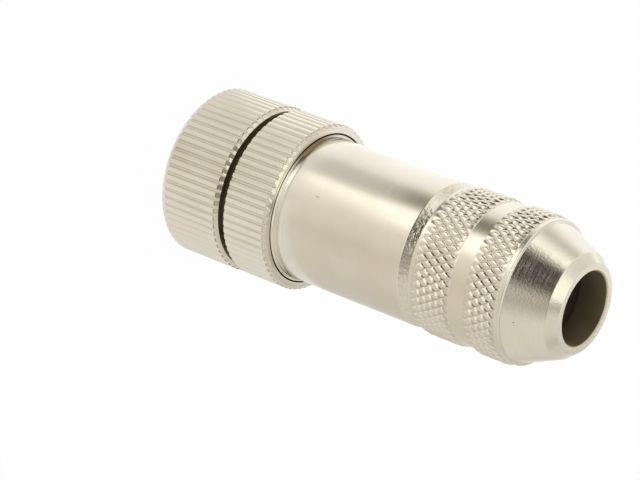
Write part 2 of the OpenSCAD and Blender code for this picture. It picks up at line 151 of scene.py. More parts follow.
# Rows up the outside of a knurled disc, from its front face to its rear face
def knurlRows(look, z0, z1, depths):
    radius, front, rear, edge = look["radius"], look["frontBreak"], look["rearBreak"], look["edge"]
    start, end, guard = knurlEdge["start"], knurlEdge["end"], knurlEdge["guard"]
    wall = radius - look["depth"] * depths
    inFront = np.minimum(wall, radius - front)
    frontZ = np.maximum(z0, z0 + front - (radius - wall))
    rearZ = z1 - rear + (radius - wall)
    foot = wall - look["step"] * (1 - depths)
    footZ = z1 - rear + (radius - foot)
    level = np.ones(len(depths))
    return [
        [inFront - edge, level * z0],
        [inFront, level * z0 + edge * start],
        [wall - edge * start, frontZ + edge * start],
        [wall, frontZ + edge * end],
        [wall, frontZ + edge * guard],
        [wall, rearZ - edge * guard],
        [wall, rearZ - edge],
        [wall - edge * knurlEdge["cornerIn"], rearZ - edge * knurlEdge["cornerDown"]],
        [foot, footZ - look["step"] * (1 - depths) * knurlEdge["footSlope"]],
        [level * (radius - rear + edge * knurlEdge["rim"]), level * (z1 - edge * knurlEdge["rim"])],
        [level * (radius - rear - edge), level * z1],
    ]


# Places of a knurled disc's finishes in its list
knurled, turned, shaded = range(3)


# Finishes of the rows that knurlRows gives, but for the last one; the slope at the crest's foot lies in shade
def knurlTags(outside):
    footRows = [shaded, knurled, knurled]
    return [knurled] * (len(outside) - len(footRows) - 1) + footRows


# Shader groups
def newGroup(name, inputs, outputs):
    group = bpy.data.node_groups.new(name, "ShaderNodeTree")
    for label, value in inputs.items():
        socket = group.interface.new_socket(name=label, in_out="INPUT", socket_type="NodeSocketFloat")
        socket.default_value = value
    for label in outputs:
        group.interface.new_socket(name=label, in_out="OUTPUT", socket_type="NodeSocketFloat")
    return group, group.nodes.new("NodeGroupInput").outputs, group.nodes.new("NodeGroupOutput").inputs


# Links an output into a socket, or sets the socket to a number or a colour
def feed(tree, socket, given):
    if isinstance(given, (int, float)):
        socket.default_value = given
    elif isinstance(given, (tuple, list)):
        socket.default_value = (*given, 1)
    else:
        tree.links.new(given, socket)


def mathNode(tree, operation, *given):
    node = tree.nodes.new("ShaderNodeMath")
    node.operation = operation
    for socket, value in zip(node.inputs, given):
        feed(tree, socket, value)
    return node.outputs[0]


def rangeNode(tree, value, low, high, toLow=0.0, toHigh=1.0):
    node = tree.nodes.new("ShaderNodeMapRange")
    node.interpolation_type = "SMOOTHSTEP"
    for socket, given in zip(node.inputs, (value, low, high, toLow, toHigh)):
        feed(tree, socket, given)
    return node.outputs[0]


def mixColour(tree, share, first, second):
    node = tree.nodes.new("ShaderNodeMix")
    node.data_type = "RGBA"
    for number, given in ((0, share), (6, first), (7, second)):
        feed(tree, node.inputs[number], given)
    return node.outputs[2]


def noiseNode(tree, place, scale, detail, roughness=0.5):
    node = tree.nodes.new("ShaderNodeTexNoise")
    tree.links.new(place, node.inputs["Vector"])
    feed(tree, node.inputs["Scale"], scale)
    node.inputs["Detail"].default_value = detail
    node.inputs["Roughness"].default_value = roughness
    return node.outputs[0]


# Square root of two squares' sum
def lengthOf(tree, a, b):
    return mathNode(tree, "SQRT", mathNode(tree, "ADD", mathNode(tree, "MULTIPLY", a, a),
                                           mathNode(tree, "MULTIPLY", b, b)))


def objectPlace(tree):
    return tree.nodes.new("ShaderNodeTexCoord").outputs["Object"]


# Distance from the axis and height, both in mm, and the angle round the axis
def roundCoordinates(tree):
    parts = tree.nodes.new("ShaderNodeSeparateXYZ")
    tree.links.new(objectPlace(tree), parts.inputs[0])
    x, y, z = parts.outputs
    radius, height = (mathNode(tree, "MULTIPLY", metres, 1 / mm) for metres in (lengthOf(tree, x, y), z))
    return radius, height, mathNode(tree, "ARCTAN2", y, x)


# Between which values of a noise its masks rise from 0 to 1
noiseSpan = (0.35, 0.65)
markSpan = (0.3, 0.7)


# Fine tool marks that run round the axis
def makeTurningMarks():
    tree, given, out = newGroup("turning marks", {"Feed": 14.0, "Length": 1.2}, ["Height", "Shade"])
    radius, height, angle = roundCoordinates(tree)
    around = tree.nodes.new("ShaderNodeCombineXYZ")
    for number, wave in enumerate(("SINE", "COSINE")):
        across = mathNode(tree, "MULTIPLY", mathNode(tree, wave, angle), given["Length"])
        tree.links.new(across, around.inputs[number])
    along = mathNode(tree, "MULTIPLY", mathNode(tree, "ADD", height, radius), given["Feed"])
    tree.links.new(along, around.inputs[2])
    fine = noiseNode(tree, around.outputs[0], scale=1.0, detail=3.0, roughness=0.6)
    tree.links.new(fine, out["Height"])
    tree.links.new(rangeNode(tree, fine, *markSpan), out["Shade"])
    return tree


# Broad, soft change of tone, as plating has
def makeToneDrift():
    tree, given, out = newGroup("tone drift", {"Size": 250.0}, ["Mask"])
    broad = noiseNode(tree, objectPlace(tree), given["Size"], detail=2.0)
    tree.links.new(rangeNode(tree, broad, *noiseSpan), out["Mask"])
    return tree


# Rare tiny dark specks
def makeSpecks():
    tree, given, out = newGroup("specks", {"Scale": 300.0, "Size": 0.12, "Share": 0.04}, ["Mask"])
    cells = tree.nodes.new("ShaderNodeTexVoronoi")
    tree.links.new(objectPlace(tree), cells.inputs["Vector"])
    tree.links.new(given["Scale"], cells.inputs["Scale"])
    dot = mathNode(tree, "LESS_THAN", cells.outputs["Distance"], given["Size"])
    parts = tree.nodes.new("ShaderNodeSeparateColor")
    tree.links.new(cells.outputs["Color"], parts.inputs[0])
    rare = mathNode(tree, "LESS_THAN", parts.outputs[0], given["Share"])
    tree.links.new(mathNode(tree, "MULTIPLY", dot, rare), out["Mask"])
    return tree


# Fine grain, for moulded plastic, rubber and pitted metal
def makeGrain():
    tree, given, out = newGroup("grain", {"Scale": 3000.0}, ["Height", "Mask"])
    fine = noiseNode(tree, objectPlace(tree), given["Scale"], detail=3.0)
    tree.links.new(fine, out["Height"])
    tree.links.new(rangeNode(tree, fine, *noiseSpan), out["Mask"])
    return tree


# How deep a point lies below the crests of a knurl, from 0 to 1
def makeFurrowMask():
    tree, given, out = newGroup("furrow mask", {"Crest": 10.0, "Root": 9.7}, ["Mask"])
    radius = roundCoordinates(tree)[0]
    tree.links.new(rangeNode(tree, radius, given["Crest"], given["Root"]), out["Mask"])
    return tree


# One soft spot of colour at an angle and a height, with half its length round the axis and half its width, in
# mm; it serves for stains and for painted shade
def makeStainAndShade():
    tree, given, out = newGroup("stainAndShade", {"Angle": 0.0, "Height": 0.0, "Length": 1.0, "Width": 1.0}, ["Mask"])
    radius, height, angle = roundCoordinates(tree)
    arc = mathNode(tree, "MULTIPLY", mathNode(tree, "SUBTRACT", angle, given["Angle"]), radius)
    along = mathNode(tree, "DIVIDE", arc, given["Length"])
    up = mathNode(tree, "DIVIDE", mathNode(tree, "SUBTRACT", height, given["Height"]), given["Width"])
    rim, heart = 1.0, 0.3
    tree.links.new(rangeNode(tree, lengthOf(tree, along, up), rim, heart), out["Mask"])
    return tree


turningMarks, toneDrift, specks = makeTurningMarks(), makeToneDrift(), makeSpecks()
grain, furrowMask, stainAndShade = makeGrain(), makeFurrowMask(), makeStainAndShade()
print("shader groups made")


# Finishes
def newFinish(name):
    finish = bpy.data.materials.new(name)
    finish.use_nodes = True
    return finish, finish.node_tree, finish.node_tree.nodes["Principled BSDF"]


def placeGroup(tree, group, **values):
    node = tree.nodes.new("ShaderNodeGroup")
    node.node_tree = group
    for label, value in values.items():
        node.inputs[label].default_value = value
    return node.outputs


# Mixes a colour in where a mask has it, as strongly as the given share
def tint(tree, colour, mask, share, otherColour):
    return mixColour(tree, mathNode(tree, "MULTIPLY", mask, share), colour, otherColour)


# Roughness that spreads both ways from its middle value along a mask
def spreadRoughness(tree, shader, mask, look):
    low, high = look["roughness"] - look["roughSpread"], look["roughness"] + look["roughSpread"]
    tree.links.new(rangeNode(tree, mask, 0.0, 1.0, low, high), shader.inputs["Roughness"])


def addBump(tree, shader, height, strength, distance):
    bump = tree.nodes.new("ShaderNodeBump")
    bump.inputs["Strength"].default_value = strength
    bump.inputs["Distance"].default_value = distance
    tree.links.new(height, bump.inputs["Height"])
    tree.links.new(bump.outputs[0], shader.inputs["Normal"])


# Nickel plate over turned brass, and the other metals
def metalFinish(name, look):
    finish, tree, shader = newFinish(name)
    marks = placeGroup(tree, turningMarks, Feed=look["feed"], Length=look["markLength"])
    drift = placeGroup(tree, toneDrift, Size=look["driftSize"])
    dots = placeGroup(tree, specks, Scale=look["speckScale"], Size=look["speckSize"],
                      Share=look["speckShare"])
    colour = mixColour(tree, drift["Mask"], look["colour"], look["driftColour"])
    colour = tint(tree, colour, marks["Shade"], look["markShade"], look["markColour"])
    # Painted shade: the colour darkens down in a knurl's furrows
    if "crest" in look:
        furrow = placeGroup(tree, furrowMask, Crest=look["crest"], Root=look["root"])
        colour = tint(tree, colour, furrow["Mask"], look["furrowShadeShare"], look["furrowShadeColour"])
    colour = tint(tree, colour, dots["Mask"], look["speckStrength"], look["speckColour"])
    # Soft spots of colour: real stains and marks, and patches of painted shade
    for degrees, level, length, width, share, stainAndShadeColour in look.get("stainsAndShade", []):
        spot = placeGroup(tree, stainAndShade, Angle=math.radians(degrees), Height=level, Length=length, Width=width)
        colour = tint(tree, colour, spot["Mask"], share, stainAndShadeColour)
    height = marks["Height"]
    if "dimples" in look:
        dimples = placeGroup(tree, grain, Scale=look["dimples"])
        depth = mathNode(tree, "MULTIPLY", dimples["Height"], look["dimpleDepth"])
        height = mathNode(tree, "ADD", height, depth)
        colour = tint(tree, colour, dimples["Mask"], look["dimpleShade"], look["markColour"])
    tree.links.new(colour, shader.inputs["Base Color"])
    spreadRoughness(tree, shader, marks["Shade"], look)
    shader.inputs["Metallic"].default_value = 1.0
    shader.inputs["Anisotropic"].default_value = look["anisotropy"]
    shader.inputs["Anisotropic Rotation"].default_value = look["anisotropyTurn"]
    if look["anisotropy"] > 0:
        tangent = tree.nodes.new("ShaderNodeTangent")
        tangent.direction_type = "RADIAL"
        tangent.axis = "Z"
        tree.links.new(tangent.outputs[0], shader.inputs["Tangent"])
    addBump(tree, shader, height, look["markDepth"], look["bumpReach"])
    return finish


nickelLook = {"colour": (0.86, 0.83, 0.765), "driftColour": (0.83, 0.79, 0.71), "driftSize": 180.0,
              "feed": 14.0, "markLength": 1.2, "markShade": 0.12, "markColour": (0.72, 0.68, 0.59),
              "markDepth": 0.10, "bumpReach": 0.00001, "roughness": 0.15, "roughSpread": 0.04,
              "anisotropy": 0.4, "anisotropyTurn": 0.25, "speckScale": 330.0, "speckSize": 0.03,
              "speckShare": 0.06, "speckStrength": 0.8, "speckColour": (0.05, 0.045, 0.04)}
turnedNickel = metalFinish("turnedNickel", nickelLook)

# Each entry of stainsAndShade has its angle in degrees, its height, half length and half width in mm, its
# share and its colour
sleeveNickel = metalFinish("sleeveNickel", {
    **nickelLook,
    # Painted shade: a dark brown band along the flange, at the joint with the carrier ring; the second entry
    # is a small mark
    "stainsAndShade": [(-136, 15.75, 5.5, 0.75, 0.9, (0.20, 0.135, 0.07)),
               (-97, 20.4, 0.16, 0.40, 0.6, (0.42, 0.37, 0.25))]})
coneNickel = metalFinish("coneNickel", {
    **nickelLook, "dimples": 4200.0, "dimpleDepth": 20.0, "dimpleShade": 0.05,
    "stainsAndShade": [(-56.5, 48.27, 0.13, 0.13, 0.8, (0.12, 0.10, 0.08))]})
pittedNickel = metalFinish("pittedNickel", {
    **nickelLook, "markColour": (0.50, 0.45, 0.35), "anisotropy": 0.0,
    "dimples": 2500.0, "dimpleDepth": 180.0, "dimpleShade": 0.15})
# Knurled nickel: painted shade darkens the furrows between its teeth
knurledLook = {**nickelLook, "anisotropy": 0.3, "furrowShadeShare": 0.4, "furrowShadeColour": (0.66, 0.61, 0.51)}
knurledNutNickel = metalFinish("knurledNutNickel", {**knurledLook, "crest": 10.0, "root": 9.7})
knurledRingNickel = metalFinish("knurledRingNickel", {**knurledLook, "crest": 9.95, "root": 9.65})
plainLook = {**nickelLook, "anisotropy": 0.0}
# Diamond knurl: painted shade darkens the furrows between its diamonds
diamondNickel = metalFinish("diamondNickel", {
    **plainLook, "roughness": 0.16,
    "crest": 8.75, "root": 8.45, "furrowShadeShare": 0.25, "furrowShadeColour": (0.62, 0.57, 0.47)})
# Painted shade: a darker, browner nickel inside the clamping nut's bore
shadedBoreNickel = metalFinish("shadedBoreNickel", {
    **plainLook, "colour": (0.76, 0.67, 0.52), "driftColour": (0.66, 0.57, 0.43),
    "markColour": (0.40, 0.32, 0.22), "roughness": 0.45})
shadedNickel = metalFinish("shadedNickel", {
    **plainLook, "colour": (0.48, 0.42, 0.32), "driftColour": (0.38, 0.33, 0.24),
    "markColour": (0.18, 0.15, 0.10), "roughness": 0.4})
innerMetal = metalFinish("innerMetal", {
    **nickelLook, "colour": (0.66, 0.64, 0.60), "driftColour": (0.60, 0.58, 0.54),
    "roughness": 0.38, "anisotropy": 0.3})
giltBrass = metalFinish("giltBrass", {
    **plainLook, "colour": (0.83, 0.60, 0.22), "driftColour": (0.78, 0.54, 0.20),
    "markColour": (0.60, 0.42, 0.16), "roughness": 0.25})
screwSteel = metalFinish("screwSteel", {
    **plainLook, "colour": (0.52, 0.52, 0.51), "driftColour": (0.46, 0.46, 0.45),
    "markColour": (0.30, 0.30, 0.30), "roughness": 0.33})
springSteel = metalFinish("springSteel", {
    **plainLook, "colour": (0.50, 0.50, 0.50), "driftColour": (0.44, 0.44, 0.45),
    "markColour": (0.32, 0.32, 0.33), "roughness": 0.28})
springBronze = metalFinish("springBronze", {
    **plainLook, "colour": (0.66, 0.42, 0.22), "driftColour": (0.58, 0.36, 0.19),
    "markColour": (0.40, 0.25, 0.13), "roughness": 0.3})


# Moulded plastic and rubber
def mouldedFinish(name, look):
    finish, tree, shader = newFinish(name)
    fine = placeGroup(tree, grain, Scale=look["grainScale"])
    drift = placeGroup(tree, toneDrift, Size=look["driftSize"])
    colour = mixColour(tree, drift["Mask"], look["colour"], look["driftColour"])
    colour = tint(tree, colour, fine["Mask"], look["grainShade"], look["grainColour"])
    tree.links.new(colour, shader.inputs["Base Color"])
    spreadRoughness(tree, shader, fine["Mask"], look)
    shader.inputs["Specular IOR Level"].default_value = look["specular"]
    addBump(tree, shader, fine["Height"], look["grainDepth"], look["bumpReach"])
    return finish


mouldedLook = {"roughSpread": 0.06, "bumpReach": 0.00003}
insertPlastic = mouldedFinish("insertPlastic", {
    **mouldedLook, "colour": (0.022, 0.022, 0.024), "driftColour": (0.030, 0.030, 0.032), "driftSize": 240.0,
    "grainScale": 5200.0, "grainShade": 0.3, "grainColour": (0.040, 0.040, 0.042), "grainDepth": 0.35,
    "roughness": 0.48, "specular": 0.45})
cagePlastic = mouldedFinish("cagePlastic", {
    **mouldedLook, "colour": (0.028, 0.028, 0.030), "driftColour": (0.040, 0.040, 0.042), "driftSize": 260.0,
    "grainScale": 4600.0, "grainShade": 0.3, "grainColour": (0.05, 0.05, 0.052), "grainDepth": 0.3,
    "roughness": 0.5, "specular": 0.4})
washerPlastic = mouldedFinish("washerPlastic", {
    **mouldedLook, "colour": (0.72, 0.71, 0.66), "driftColour": (0.66, 0.65, 0.60), "driftSize": 200.0,
    "grainScale": 4200.0, "grainShade": 0.2, "grainColour": (0.60, 0.59, 0.54), "grainDepth": 0.25,
    "roughness": 0.4, "specular": 0.5})
sealRubber = mouldedFinish("sealRubber", {
    **mouldedLook, "colour": (0.014, 0.014, 0.014), "driftColour": (0.024, 0.023, 0.022), "driftSize": 220.0,
    "grainScale": 6500.0, "grainShade": 0.4, "grainColour": (0.035, 0.034, 0.032), "grainDepth": 0.45,
    "roughness": 0.62, "specular": 0.35})
print("finishes made")


def replaceNode(piece, node, body):
    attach(piece, body)
    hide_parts(node)


# Coupling nut, in mm. Its inner and outer rows meet on its faces at faceRadius, and shadedRows counts the
# rows at its rear rim that lie in shade.
couplingNut = {"length": 8.45, "knurls": 64, "faceRadius": 8.6, "edge": 0.04, "mouthEdge": 0.05,
               "shadedRows": 4, "threadCore": 5.46, "threadDepth": 0.54, "threadPitch": 1.0,
               "threadSteps": 12, "threadLead": 0.6, "threadSeam": 0.02, "mouthSeam": 0.03, "webStart": 5.9,
               "webLip": 0.3, "webBore": 6.66, "wireGroove": 7.09, "wireFrom": 7.08, "wireTo": 7.98,
               "outside": {"radius": 10.0, "depth": 0.26, "frontBreak": 0.4, "rearBreak": 0.45,
                           "edge": 0.03, "step": 0.12}}


def makeCouplingNut(look):
    angles, depths = knurlColumns(look["knurls"])
    length, bore, groove, core = look["length"], look["webBore"], look["wireGroove"], look["threadCore"]
    web, lead, seam = look["webStart"], look["threadLead"], look["threadSeam"]
    outside = knurlRows(look["outside"], 0.0, length, depths)
    rear = softSection([(look["faceRadius"], length), (bore, length), (bore, look["wireTo"]),
                        (groove, look["wireTo"]), (groove, look["wireFrom"]), (bore, look["wireFrom"]),
                        (bore, web), (core + look["webLip"], web)], look["edge"])
    screw = threadRows(core, look["threadDepth"], web - seam, lead, look["threadPitch"], look["threadSteps"],
                       angles)
    mouth = softSection([(core + seam, lead - look["mouthSeam"]), (core + lead, 0.0),
                         (look["faceRadius"], 0.0)], look["mouthEdge"])
    rows = outside + plainRows(rear, angles) + screw + plainRows(mouth, angles)
    tags = knurlTags(outside) + [shaded] * look["shadedRows"]
    tags += [turned] * (len(rows) - len(tags))
    return ringMesh("couplingNut", rows, angles, [knurledNutNickel, turnedNickel, shadedNickel], tags)


replaceNode(makeCouplingNut(couplingNut), "coupling_nut", "nut")
print("coupling nut made")

# Carrier ring, in mm. Its rear rim is bright for rearRows rows, then its pocket is in shade, and so are the
# collarRows at its front.
carrierRing = {"front": 9.4, "frontRadius": 9.2, "rear": 15.6, "rearRadius": 9.3, "knurls": 64, "edge": 0.06,
               "neckBore": 5.4, "neck": 6.6, "neckFront": 6.0, "wireGroove": 6.17, "wireFrom": 6.58,
               "wireTo": 7.98, "collar": 8.0, "collarFront": 8.5, "pocket": 8.98, "pocketFloor": 10.4,
               "pocketRoot": 0.3, "tube": 7.4, "tubeBore": 6.9, "tubeEnd": 18.6, "tubeLip": 0.2,
               "shoulder": 9.6, "threadDepth": -0.22, "threadPitch": 1.0, "threadSteps": 10,
               "threadStart": 0.4, "threadEnd": 0.25, "rearRows": 5, "collarRows": 12,
               "outside": {"radius": 9.95, "depth": 0.26, "frontBreak": 0.15, "rearBreak": 0.40,
                           "edge": 0.03, "step": 0.08}}


def makeCarrierRing(look):
    angles, depths = knurlColumns(look["knurls"])
    front, rear, floor, groove = look["front"], look["rear"], look["pocketFloor"], look["wireGroove"]
    tube, bore, end, neck = look["tube"], look["tubeBore"], look["tubeEnd"], look["neck"]
    outside = knurlRows(look["outside"], front, rear, depths)
    pocket = softSection([(look["rearRadius"], rear), (look["pocket"], rear), (look["pocket"], floor),
                          (tube, floor), (tube, floor + look["pocketRoot"])], look["edge"])
    screw = threadRows(tube, look["threadDepth"], floor + look["threadStart"], end - look["threadEnd"],
                       look["threadPitch"], look["threadSteps"], angles)
    inside = softSection([(tube, end - look["tubeLip"]), (tube, end), (bore, end), (bore, look["shoulder"]),
                          (look["neckBore"], look["shoulder"]), (look["neckBore"], look["neckFront"]),
                          (neck, look["neckFront"]), (neck, look["wireFrom"]), (groove, look["wireFrom"]),
                          (groove, look["wireTo"]), (neck, look["wireTo"]), (neck, look["collarFront"]),
                          (look["collar"], look["collarFront"]), (look["collar"], front),
                          (look["frontRadius"], front)], look["edge"])
    rows = outside + plainRows(pocket, angles) + screw + plainRows(inside, angles)
    tags = knurlTags(outside) + [turned] * look["rearRows"]
    tags += [shaded] * (len(outside) + len(pocket) - len(tags))
    tags += [turned] * (len(rows) - len(tags) - look["collarRows"]) + [shaded] * look["collarRows"]
    return ringMesh("carrierRing", rows, angles, [knurledRingNickel, turnedNickel, shadedNickel], tags)


replaceNode(makeCarrierRing(carrierRing), "carrier_ring", "carrier")
print("carrier ring made")

# Sleeve, in mm
housingSleeve = {"columns": 256, "edge": 0.05, "spigotBore": 7.46, "frontLip": 0.2, "spigot": 8.1,
                 "front": 11.3, "flangeFrom": 14.4, "flange": 8.82, "ringRear": 15.6, "cone": 0.6,
                 "coneLip": 0.1, "outside": 8.5, "rear": 34.5, "rearLip": 0.1, "chamferLength": 1.2,
                 "chamferHeight": 0.75, "chamferEdge": 0.05, "rearBore": 7.26, "rearThread": 0.3,
                 "rearThreadEnd": 0.75, "rearUndercut": 0.7, "webFront": 28.6, "webRear": 29.6,
                 "webBore": 5.6, "webLip": 0.4, "smooth": (24.0, 19.2), "frontThread": 0.22,
                 "frontThreadFrom": 19.0, "frontThreadEnd": 0.15, "threadPitch": 1.0, "threadSteps": 12}


def makeHousingSleeve(look):
    angles = np.arange(look["columns"]) / look["columns"] * turn
    front, rear, outer, lip = look["front"], look["rear"], look["outside"], look["coneLip"]
    spigot, bore, flange, ringRear = look["spigot"], look["spigotBore"], look["flange"], look["ringRear"]
    rearBore, rearLip, webBore = look["rearBore"], look["rearLip"], look["webBore"]
    webFront, webRear, edge = look["webFront"], look["webRear"], look["edge"]
    outside = softSection([(bore + look["frontLip"], front), (spigot, front), (spigot, look["flangeFrom"]),
                           (flange, look["flangeFrom"]), (flange, ringRear), (outer + lip, ringRear + lip),
                           (outer, ringRear + look["cone"]), (outer, rear - look["chamferLength"]),
                           (outer - look["chamferHeight"], rear), (rearBore + rearLip, rear)], edge)
    rearThread = threadRows(rearBore, look["rearThread"], rear - rearLip, webRear + look["rearThreadEnd"],
                            look["threadPitch"], look["threadSteps"], angles)
    web = softSection([(rearBore, webRear + look["rearUndercut"]), (rearBore, webRear), (webBore, webRear),
                       (webBore, webFront), (bore, webFront), (bore, webFront - look["webLip"])], edge)
    smooth = plainRows([(bore, z) for z in look["smooth"]], angles)
    frontThread = threadRows(bore, look["frontThread"], look["frontThreadFrom"],
                             front + look["frontThreadEnd"], look["threadPitch"], look["threadSteps"], angles)
    rows = plainRows(outside, angles) + rearThread + plainRows(web, angles) + smooth + frontThread
    chamferFrom, chamferTo = rear - look["chamferLength"] + look["chamferEdge"], rear - rearLip
    tags = [int(i < len(outside) and chamferFrom < z[0] < chamferTo) for i, (_, z) in enumerate(rows)]
    return ringMesh("housingSleeve", rows, angles, [sleeveNickel, pittedNickel], tags)


replaceNode(makeHousingSleeve(housingSleeve), "housing_sleeve", "sleeve")
print("sleeve made")

# Clamping nut, in mm. Each band of diamonds has its start, its length and how many half diamonds lie along
# it. The seams are narrow plain strips beside the bands, and mouthRims tell where the rows meet on the
# mouth's face.
clampNut = {"diamonds": 50, "steps": 5, "rim": 8.45, "rimBreak": 0.12, "front": 34.6, "frontEdge": 0.03,
            "threadFront": 30.3, "thread": 7.2, "threadDepth": -0.3, "threadPitch": 1.0, "threadSteps": 10,
            "threadGap": 0.3, "threadEnd": 0.2, "frontLip": 0.1, "leadDepths": (0.4, 0.12), "leadLength": 0.2,
            "inside": 6.4, "insideFront": 37.0, "insideEdge": 0.05, "closingFrom": 43.5, "mouthFrom": 48.9,
            "mouth": 4.33, "mouthBreak": 0.12, "mouthRims": (0.2, 0.05), "rear": 52.5,
            "bands": [(35.15, 4.95, 6), (42.2, 4.1, 5)], "peak": 0.27, "edgePeak": 0.08, "valley": 0.01,
            "swell": 2.1, "bend": 1.18, "groove": 0.06, "grooveWall": 0.09, "seam": 0.03, "frontSeam": 0.05,
            "rearSeam": 0.2, "coneEdge": 0.04, "coneFrom": 46.95, "coneStart": 8.1, "coneTo": 51.4,
            "coneEnd": 6.17, "bevelEnd": 5.2}


# Heights of a band of diamonds on the column grid, and how each face is cut so that its furrows stay straight
def diamondRows(look, start, length, halfRows, columns):
    steps, bend = look["steps"], look["bend"]
    column = np.arange(columns)
    across, u = column // steps, (column % steps) / steps
    peaks = [look["edgePeak"]] + [look["peak"]] * (halfRows - 1) + [look["edgePeak"]]
    rows, cuts = [], []
    for step in range(halfRows * steps + 1):
        j = min(step // steps, halfRows - 1)
        v = step / steps - j
        even = (across + j) % 2 == 0
        along = np.where(even, u, 1 - u)
        below = along + v <= 1
        sideways, upward = np.where(below, along, 1 - along), np.where(below, v, 1 - v)
        away = (sideways ** bend + upward ** bend) ** (look["swell"] / bend)
        lift = np.maximum(np.where(below, peaks[j], peaks[j + 1]) * (1 - away), look["valley"])
        rows.append([look["rim"] + lift, np.full(columns, start + length * step / (halfRows * steps))])
        cuts.append(even)
    return rows, cuts


def makeClampNut(look):
    columns = look["diamonds"] * 2 * look["steps"]
    angles = np.arange(columns) / columns * turn
    diamond, plain, bore, cone = range(4)
    rim, rimBreak, front, rear = look["rim"], look["rimBreak"], look["front"], look["rear"]
    shaft, shaftFront, mouth, inside = look["thread"], look["threadFront"], look["mouth"], look["inside"]
    mouthBreak, seam, wall = look["mouthBreak"], look["seam"], look["grooveWall"]
    deep, shallow = look["leadDepths"]
    rows, tags, cuts = [], [], []

    def add(more, tag, split=None):
        rows.extend(more)
        tags.extend([tag] * len(more))
        cuts.extend(split if split else [None] * len(more))

    add(plainRows([(inside + look["frontLip"], shaftFront), (shaft - deep, shaftFront),
                   (shaft - shallow, shaftFront + look["leadLength"])], angles), plain)
    add(threadRows(shaft, look["threadDepth"], shaftFront + look["threadGap"], front - look["threadGap"],
                   look["threadPitch"], look["threadSteps"], angles), plain)
    add(plainRows(softSection([(shaft, front - look["threadEnd"]), (shaft, front), (rim - rimBreak, front),
                               (rim, front + rimBreak), (rim, look["bands"][0][0] - look["frontSeam"])],
                              look["frontEdge"]), angles), plain)
    for number, (start, length, halfRows) in enumerate(look["bands"]):
        band, split = diamondRows(look, start, length, halfRows, columns)
        add(band, diamond, split)
        tags[-1], cuts[-1] = plain, None
        end = start + length
        if number == 0:
            low, after = rim - look["groove"], look["bands"][1][0]
            add(plainRows([(rim, end + seam), (low, end + wall), (low, after - wall), (rim, after - seam)],
                          angles), plain)
    mouthRim, mouthStart = (mouth + mouthBreak + past for past in look["mouthRims"])
    add(plainRows([(rim, end + seam)] + softSection([
        (rim, end + look["rearSeam"]), (rim, look["coneFrom"] - rimBreak), (rim - rimBreak, look["coneFrom"]),
        (look["coneStart"], look["coneFrom"]), (look["coneEnd"], look["coneTo"]), (look["bevelEnd"], rear),
        (mouthRim, rear)], look["coneEdge"]), angles), cone)
    add(plainRows(softSection([(mouthStart, rear), (mouth, rear - mouthBreak), (mouth, look["mouthFrom"]),
                               (inside, look["closingFrom"]), (inside, look["insideFront"])],
                              look["insideEdge"]), angles), bore)
    finishes = [diamondNickel, turnedNickel, shadedBoreNickel, coneNickel]
    return ringMesh("clampNut", rows, angles, finishes, tags, cuts)


replaceNode(makeClampNut(clampNut), "clamp_nut", "clamp")
print("clamping nut made")

# Solids that keep their own shape
finishOf = {"retaining_ring": springSteel, "face_seal": sealRubber, "contact_insert": insertPlastic,
            "sleeve_seal": sealRubber, "spacer_sleeve": innerMetal, "shield_ring": innerMetal,
            "shield_spring": springBronze, "cable_seal": sealRubber, "thrust_washer": washerPlastic,
            "clamping_cage": cagePlastic}
for number in range(1, 5):  # four contacts, each with its screw
    finishOf["socket_contact_%d" % number] = giltBrass
    finishOf["terminal_screw_%d" % number] = screwSteel
for name, finish in finishOf.items():
    mesh = nodes[name].data
    mesh.materials.clear()
    mesh.materials.append(finish)
print("inner pieces finished")

# Camera. Tilt and roll are in degrees, nearest and farthest in metres. Offset says how far the object's foot
# lies to its right, below it and ahead of it, in mm.
cameraLook = {"lens": 170.478, "sensor": 36, "nearest": 0.01, "farthest": 20, "tilt": 33.058, "roll": 21.125,
              "offset": (-12.286, -8.355, 357.106)}


def placeCamera(look):
    tilt, roll = math.radians(look["tilt"]), math.radians(look["roll"])
    ahead = Vector((0, math.cos(tilt), -math.sin(tilt)))
    up, side = Vector((0, math.sin(tilt), math.cos(tilt))), Vector((1, 0, 0))
    right = up * math.cos(roll) - side * math.sin(roll)
    down = up * math.sin(roll) + side * math.cos(roll)
    x, y, z = look["offset"]
    data = bpy.data.cameras.new("camera")
    data.lens = look["lens"]
    data.sensor_width = look["sensor"]
    data.clip_start, data.clip_end = look["nearest"], look["farthest"]
    camera = bpy.data.objects.new("camera", data)
    bpy.context.scene.collection.objects.link(camera)
    place = -(right * x + down * y + ahead * z) * mm
    facing = Matrix((right, -down, -ahead)).transposed().to_4x4()
    camera.matrix_world = Matrix.Translation(place) @ facing
    bpy.context.scene.camera = camera


placeCamera(cameraLook)
print("camera placed")

# Floor, in metres, and world
studio = {"floorSize": 3.0, "floorColour": (0.90, 0.90, 0.90), "floorRoughness": 0.9, "floorGlow": 0.97,
          "worldColour": (1.0, 0.985, 0.96), "worldStrength": 0.74, "backdropColour": (1, 1, 1)}

